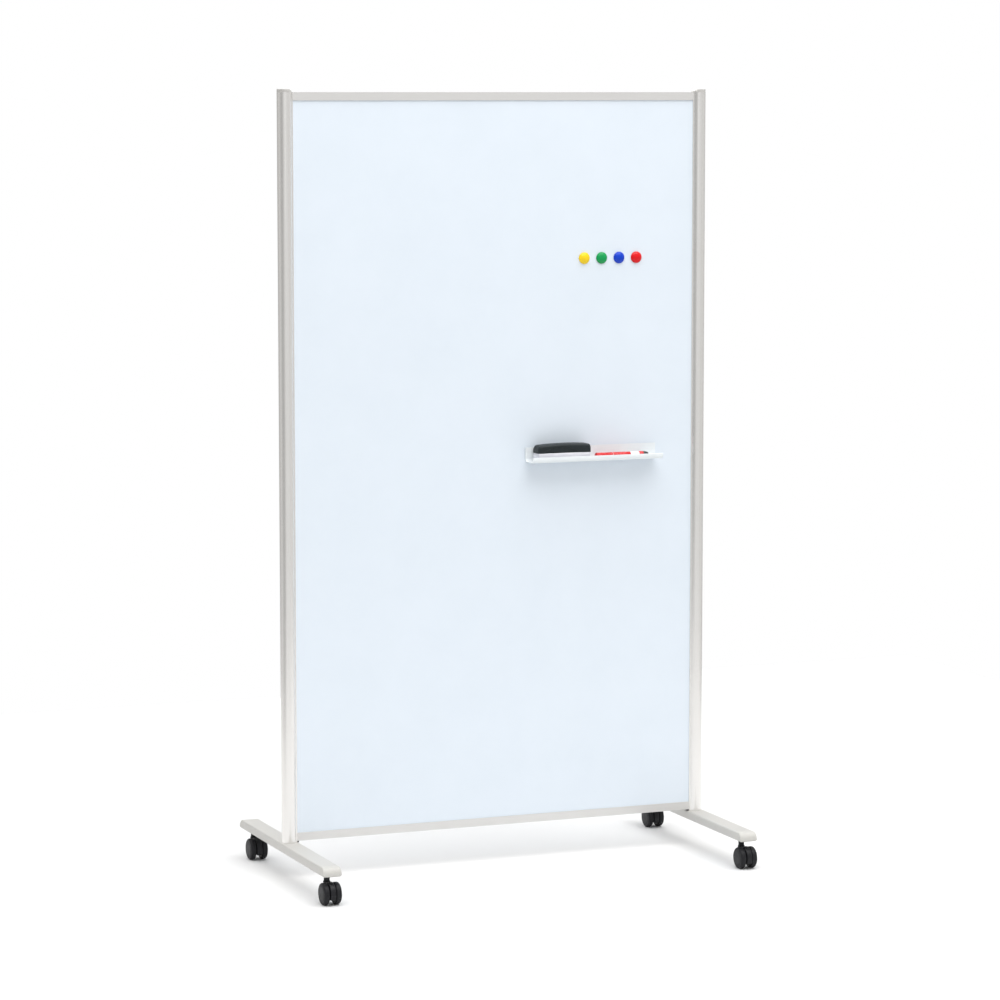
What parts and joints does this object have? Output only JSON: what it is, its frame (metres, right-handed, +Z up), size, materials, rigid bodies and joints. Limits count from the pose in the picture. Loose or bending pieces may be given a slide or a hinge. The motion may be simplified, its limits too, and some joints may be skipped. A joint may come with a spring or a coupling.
{
  "type": "rolling whiteboard",
  "caption": "Tall double-sided whiteboard between round aluminium posts on flat castered feet, with a magnetic tray, eraser, marker and round magnets.",
  "frame": {"origin": "on the floor at the middle of the board, halfway between the posts and between the ends of the feet", "axes": "+X along the board's width to a writer's right, -Y out of the writing side with the tray, +Z up"},
  "size_m": [1.065, 0.608, 1.8],
  "materials": {
    "anodised_aluminium": "satin anodised",
    "cap_plastic": "satin moulded",
    "zinc_steel": "zinc plated",
    "black_rubber": "matt",
    "white_enamel": "smooth glossy enamel",
    "honeycomb": "raw paper honeycomb",
    "foot_paint": "fine satin silver grey",
    "nose_plastic": "satin moulded",
    "insert_aluminium": "mill finish",
    "stem_steel": "dark zinc plated",
    "caster_plastic": "satin black",
    "wheel_plastic": "satin black",
    "tray_white": "satin white",
    "magnet_rubber": "matt",
    "eraser_black": "satin black",
    "eraser_felt": "felt",
    "marker_red": "gloss",
    "marker_white": "gloss",
    "marker_black": "gloss",
    "marker_fibre": "ink-soaked fibre",
    "magnet_yellow": "gloss",
    "magnet_green": "gloss",
    "magnet_blue": "gloss",
    "magnet_red": "gloss",
    "ferrite": "matt grey"
  },
  "bodies": {
    "frame": {"post_left": "anodised_aluminium", "post_right": "anodised_aluminium", "post_cap_left": "cap_plastic", "post_cap_right": "cap_plastic", "top_rail": "anodised_aluminium", "bottom_rail": "anodised_aluminium", "rail_joiners": "zinc_steel", "rail_spacers": "black_rubber", "front_sheet": "white_enamel", "board_core": "honeycomb", "back_sheet": "white_enamel", "foot_left": "foot_paint", "foot_right": "foot_paint", "nose_front_left": "nose_plastic", "nose_front_right": "nose_plastic", "nose_back_left": "nose_plastic", "nose_back_right": "nose_plastic", "post_bolts": "zinc_steel", "post_inserts": "insert_aluminium", "caster_sockets": "zinc_steel", "stem_front_left": "stem_steel", "stem_front_right": "stem_steel", "stem_back_left": "stem_steel", "stem_back_right": "stem_steel"},
    "caster_front_left": {"body_front_left": "caster_plastic", "axle_front_left": "zinc_steel"},
    "outer_wheel_front_left": {"outer_wheel_front_left": "wheel_plastic"},
    "inner_wheel_front_left": {"inner_wheel_front_left": "wheel_plastic"},
    "caster_front_right": {"body_front_right": "caster_plastic", "axle_front_right": "zinc_steel"},
    "outer_wheel_front_right": {"outer_wheel_front_right": "wheel_plastic"},
    "inner_wheel_front_right": {"inner_wheel_front_right": "wheel_plastic"},
    "caster_back_left": {"body_back_left": "caster_plastic", "axle_back_left": "zinc_steel"},
    "outer_wheel_back_left": {"outer_wheel_back_left": "wheel_plastic"},
    "inner_wheel_back_left": {"inner_wheel_back_left": "wheel_plastic"},
    "caster_back_right": {"body_back_right": "caster_plastic", "axle_back_right": "zinc_steel"},
    "outer_wheel_back_right": {"outer_wheel_back_right": "wheel_plastic"},
    "inner_wheel_back_right": {"inner_wheel_back_right": "wheel_plastic"},
    "tray": {"tray": "tray_white", "tray_magnet_strip": "magnet_rubber"},
    "eraser": {"eraser_grip": "eraser_black", "eraser_pad": "eraser_felt"},
    "marker_cap": {"marker_cap": "marker_red"},
    "marker_pen": {"marker_barrel": "marker_white", "marker_sleeve": "marker_red", "marker_plug": "marker_black", "marker_nib": "marker_fibre"},
    "magnet_yellow": {"magnet_yellow": "magnet_yellow", "disc_yellow": "ferrite"},
    "magnet_green": {"magnet_green": "magnet_green", "disc_green": "ferrite"},
    "magnet_blue": {"magnet_blue": "magnet_blue", "disc_blue": "ferrite"},
    "magnet_red": {"magnet_red": "magnet_red", "disc_red": "ferrite"}
  },
  "joints": [
    {"name": "swivel_front_left", "type": "hinge", "parent": "frame", "child": "caster_front_left", "pos_m": [-0.511, -0.26, 0.05], "axis": [0, 0, 1], "continuous": true},
    {"name": "spin_outer_front_left", "type": "hinge", "parent": "caster_front_left", "child": "outer_wheel_front_left", "pos_m": [-0.511, -0.282, 0.025], "axis": [1, 0, 0], "continuous": true},
    {"name": "spin_inner_front_left", "type": "hinge", "parent": "caster_front_left", "child": "inner_wheel_front_left", "pos_m": [-0.511, -0.282, 0.025], "axis": [1, 0, 0], "continuous": true},
    {"name": "swivel_front_right", "type": "hinge", "parent": "frame", "child": "caster_front_right", "pos_m": [0.511, -0.26, 0.05], "axis": [0, 0, 1], "continuous": true},
    {"name": "spin_outer_front_right", "type": "hinge", "parent": "caster_front_right", "child": "outer_wheel_front_right", "pos_m": [0.511, -0.282, 0.025], "axis": [1, 0, 0], "continuous": true},
    {"name": "spin_inner_front_right", "type": "hinge", "parent": "caster_front_right", "child": "inner_wheel_front_right", "pos_m": [0.511, -0.282, 0.025], "axis": [1, 0, 0], "continuous": true},
    {"name": "swivel_back_left", "type": "hinge", "parent": "frame", "child": "caster_back_left", "pos_m": [-0.511, 0.26, 0.05], "axis": [0, 0, 1], "continuous": true},
    {"name": "spin_outer_back_left", "type": "hinge", "parent": "caster_back_left", "child": "outer_wheel_back_left", "pos_m": [-0.511, 0.238, 0.025], "axis": [1, 0, 0], "continuous": true},
    {"name": "spin_inner_back_left", "type": "hinge", "parent": "caster_back_left", "child": "inner_wheel_back_left", "pos_m": [-0.511, 0.238, 0.025], "axis": [1, 0, 0], "continuous": true},
    {"name": "swivel_back_right", "type": "hinge", "parent": "frame", "child": "caster_back_right", "pos_m": [0.511, 0.26, 0.05], "axis": [0, 0, 1], "continuous": true},
    {"name": "spin_outer_back_right", "type": "hinge", "parent": "caster_back_right", "child": "outer_wheel_back_right", "pos_m": [0.511, 0.238, 0.025], "axis": [1, 0, 0], "continuous": true},
    {"name": "spin_inner_back_right", "type": "hinge", "parent": "caster_back_right", "child": "inner_wheel_back_right", "pos_m": [0.511, 0.238, 0.025], "axis": [1, 0, 0], "continuous": true},
    {"name": "tray_off", "type": "slide", "parent": "frame", "child": "tray", "axis": [0, -1, 0], "range_m": [0, 0.08]},
    {"name": "eraser_lift", "type": "slide", "parent": "tray", "child": "eraser", "axis": [0, 0, 1], "range_m": [0, 0.06]},
    {"name": "marker_lift", "type": "slide", "parent": "tray", "child": "marker_cap", "axis": [0, 0, 1], "range_m": [0, 0.06]},
    {"name": "marker_uncap", "type": "slide", "parent": "marker_cap", "child": "marker_pen", "axis": [1, 0, 0], "range_m": [0, 0.045]},
    {"name": "magnet_yellow_off", "type": "slide", "parent": "frame", "child": "magnet_yellow", "axis": [0, -1, 0], "range_m": [0, 0.05]},
    {"name": "magnet_green_off", "type": "slide", "parent": "frame", "child": "magnet_green", "axis": [0, -1, 0], "range_m": [0, 0.05]},
    {"name": "magnet_blue_off", "type": "slide", "parent": "frame", "child": "magnet_blue", "axis": [0, -1, 0], "range_m": [0, 0.05]},
    {"name": "magnet_red_off", "type": "slide", "parent": "frame", "child": "magnet_red", "axis": [0, -1, 0], "range_m": [0, 0.05]}
  ]
}
